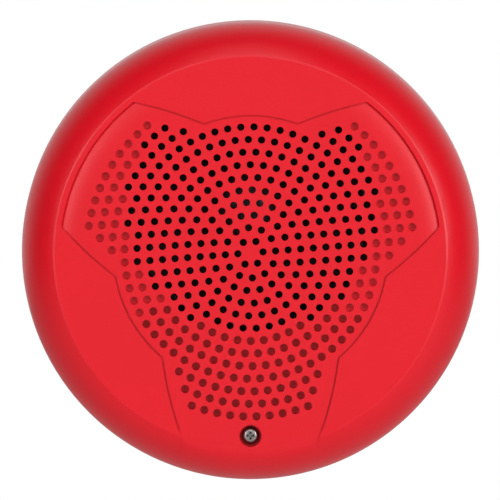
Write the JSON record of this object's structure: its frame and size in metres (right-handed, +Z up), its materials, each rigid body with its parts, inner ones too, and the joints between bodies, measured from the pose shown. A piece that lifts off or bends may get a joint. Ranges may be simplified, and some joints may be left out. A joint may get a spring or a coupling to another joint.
{
  "type": "alarm sounder",
  "caption": "Round red wall alarm sounder: perforated domed head with a rear loudspeaker, hooked and screwed to a plug-in mounting plate.",
  "frame": {"origin": "On the wall plane, at the centre of the mounting plate's back face, behind the centre of the face's hole pattern.", "axes": "+X to the right seen from the room, +Z up, -Y out of the wall into the room; +Y is the back face's outward normal."},
  "size_m": [0.1732, 0.048, 0.1732],
  "materials": {
    "red_plastic": "fine satin moulding texture",
    "black_plastic": "fine matt moulding texture",
    "plate_plastic": "fine matt moulding texture",
    "white_plastic": "satin",
    "nylon_washer": "satin",
    "brass": "turned",
    "tinned_brass": "tin plated",
    "zinc_steel": "zinc plated",
    "basket_steel": "black coated steel",
    "lamination_steel": "stacked laminations",
    "ferrite": "sintered matt",
    "former_paper": "kraft paper",
    "copper_wire": "enamelled copper",
    "cone_paper": "pressed paper",
    "cap_gloss": "semi-gloss",
    "surround_rubber": "matt",
    "spider_cloth": "resin-dipped cloth",
    "gasket_foam": "closed-cell foam",
    "phenolic_board": "phenolic paper",
    "red_wire": "PVC insulation",
    "black_wire": "PVC insulation",
    "green_board": "solder mask",
    "winding_tape": "polyester tape",
    "capacitor_sleeve": "shrink sleeve"
  },
  "bodies": {
    "base": {"mounting_plate": "plate_plastic", "threaded_insert": "brass", "terminal_block": "black_plastic", "contact_plates": "tinned_brass"},
    "head": {"front_cover": "red_plastic", "rear_cover": "black_plastic", "rear_cover_screws": "zinc_steel", "speaker_screws": "zinc_steel", "board_screws": "zinc_steel", "speaker_basket": "basket_steel", "magnet_top_plate": "zinc_steel", "magnet_yoke": "zinc_steel", "magnet_ring": "ferrite", "cone_surround": "surround_rubber", "cone_spider": "spider_cloth", "speaker_gasket": "gasket_foam", "lead_strip": "phenolic_board", "lead_strip_tags": "tinned_brass", "speaker_wire_red": "red_wire", "speaker_wire_black": "black_wire", "tinsel_leads": "copper_wire", "circuit_board": "green_board", "transformer_core": "lamination_steel", "transformer_winding": "winding_tape", "transformer_pins": "tinned_brass", "blocking_capacitor": "capacitor_sleeve", "tap_selector_body": "black_plastic", "voltage_switch_body": "black_plastic", "pin_header": "black_plastic", "contact_pins": "tinned_brass"},
    "cone": {"speaker_cone": "cone_paper", "dust_cap": "cap_gloss", "voice_coil_former": "former_paper", "voice_coil_winding": "copper_wire"},
    "screw_carriage": {"retaining_washer": "nylon_washer"},
    "cover_screw": {"captive_screw": "zinc_steel"},
    "tap_rotor": {"tap_selector_rotor": "white_plastic"},
    "voltage_slider": {"voltage_switch_slider": "white_plastic"},
    "clamp_1": {"terminal_clamp_1": "tinned_brass"},
    "clamp_screw_1": {"terminal_screw_1": "zinc_steel"},
    "clamp_2": {"terminal_clamp_2": "tinned_brass"},
    "clamp_screw_2": {"terminal_screw_2": "zinc_steel"},
    "clamp_3": {"terminal_clamp_3": "tinned_brass"},
    "clamp_screw_3": {"terminal_screw_3": "zinc_steel"},
    "clamp_4": {"terminal_clamp_4": "tinned_brass"},
    "clamp_screw_4": {"terminal_screw_4": "zinc_steel"}
  },
  "joints": [
    {"name": "head_swing", "type": "hinge", "parent": "base", "child": "head", "pos_m": [0, -0.006, 0.0812], "axis": [-1, 0, 0], "range_deg": [0, 28]},
    {"name": "cone_travel", "type": "slide", "parent": "head", "child": "cone", "axis": [0, -1, 0], "range_m": [-0.0012, 0.0012], "stiffness_N_per_m": 1500, "deforming": ["cone_surround", "cone_spider", "tinsel_leads"]},
    {"name": "cover_screw_travel", "type": "slide", "parent": "head", "child": "screw_carriage", "axis": [0, -1, 0], "range_m": [0, 0.00635]},
    {"name": "cover_screw_turn", "type": "hinge", "parent": "screw_carriage", "child": "cover_screw", "pos_m": [0, -0.03, -0.0693], "axis": [0, -1, 0], "range_deg": [0, 2880]},
    {"name": "tap_selector_turn", "type": "hinge", "parent": "head", "child": "tap_rotor", "pos_m": [0.027, -0.016, -0.044], "axis": [0, 1, 0], "range_deg": [0, 90]},
    {"name": "voltage_switch_slide", "type": "slide", "parent": "head", "child": "voltage_slider", "axis": [1, 0, 0], "range_m": [0, 0.003]},
    {"name": "clamp_1_travel", "type": "slide", "parent": "base", "child": "clamp_1", "axis": [0, -1, 0], "range_m": [0, 0.00238]},
    {"name": "clamp_screw_1_turn", "type": "hinge", "parent": "clamp_1", "child": "clamp_screw_1", "pos_m": [-0.0123, -0.008, -0.039], "axis": [0, -1, 0], "range_deg": [0, 1080]},
    {"name": "clamp_2_travel", "type": "slide", "parent": "base", "child": "clamp_2", "axis": [0, -1, 0], "range_m": [0, 0.00238]},
    {"name": "clamp_screw_2_turn", "type": "hinge", "parent": "clamp_2", "child": "clamp_screw_2", "pos_m": [-0.0041, -0.008, -0.039], "axis": [0, -1, 0], "range_deg": [0, 1080]},
    {"name": "clamp_3_travel", "type": "slide", "parent": "base", "child": "clamp_3", "axis": [0, -1, 0], "range_m": [0, 0.00238]},
    {"name": "clamp_screw_3_turn", "type": "hinge", "parent": "clamp_3", "child": "clamp_screw_3", "pos_m": [0.0041, -0.008, -0.039], "axis": [0, -1, 0], "range_deg": [0, 1080]},
    {"name": "clamp_4_travel", "type": "slide", "parent": "base", "child": "clamp_4", "axis": [0, -1, 0], "range_m": [0, 0.00238]},
    {"name": "clamp_screw_4_turn", "type": "hinge", "parent": "clamp_4", "child": "clamp_screw_4", "pos_m": [0.0123, -0.008, -0.039], "axis": [0, -1, 0], "range_deg": [0, 1080]}
  ],
  "couplings": [
    {"joint": "cover_screw_turn", "follows": "cover_screw_travel", "rad_per_m": 7915.8},
    {"joint": "clamp_screw_1_turn", "follows": "clamp_1_travel", "rad_per_m": 7915.8},
    {"joint": "clamp_screw_2_turn", "follows": "clamp_2_travel", "rad_per_m": 7915.8},
    {"joint": "clamp_screw_3_turn", "follows": "clamp_3_travel", "rad_per_m": 7915.8},
    {"joint": "clamp_screw_4_turn", "follows": "clamp_4_travel", "rad_per_m": 7915.8}
  ]
}
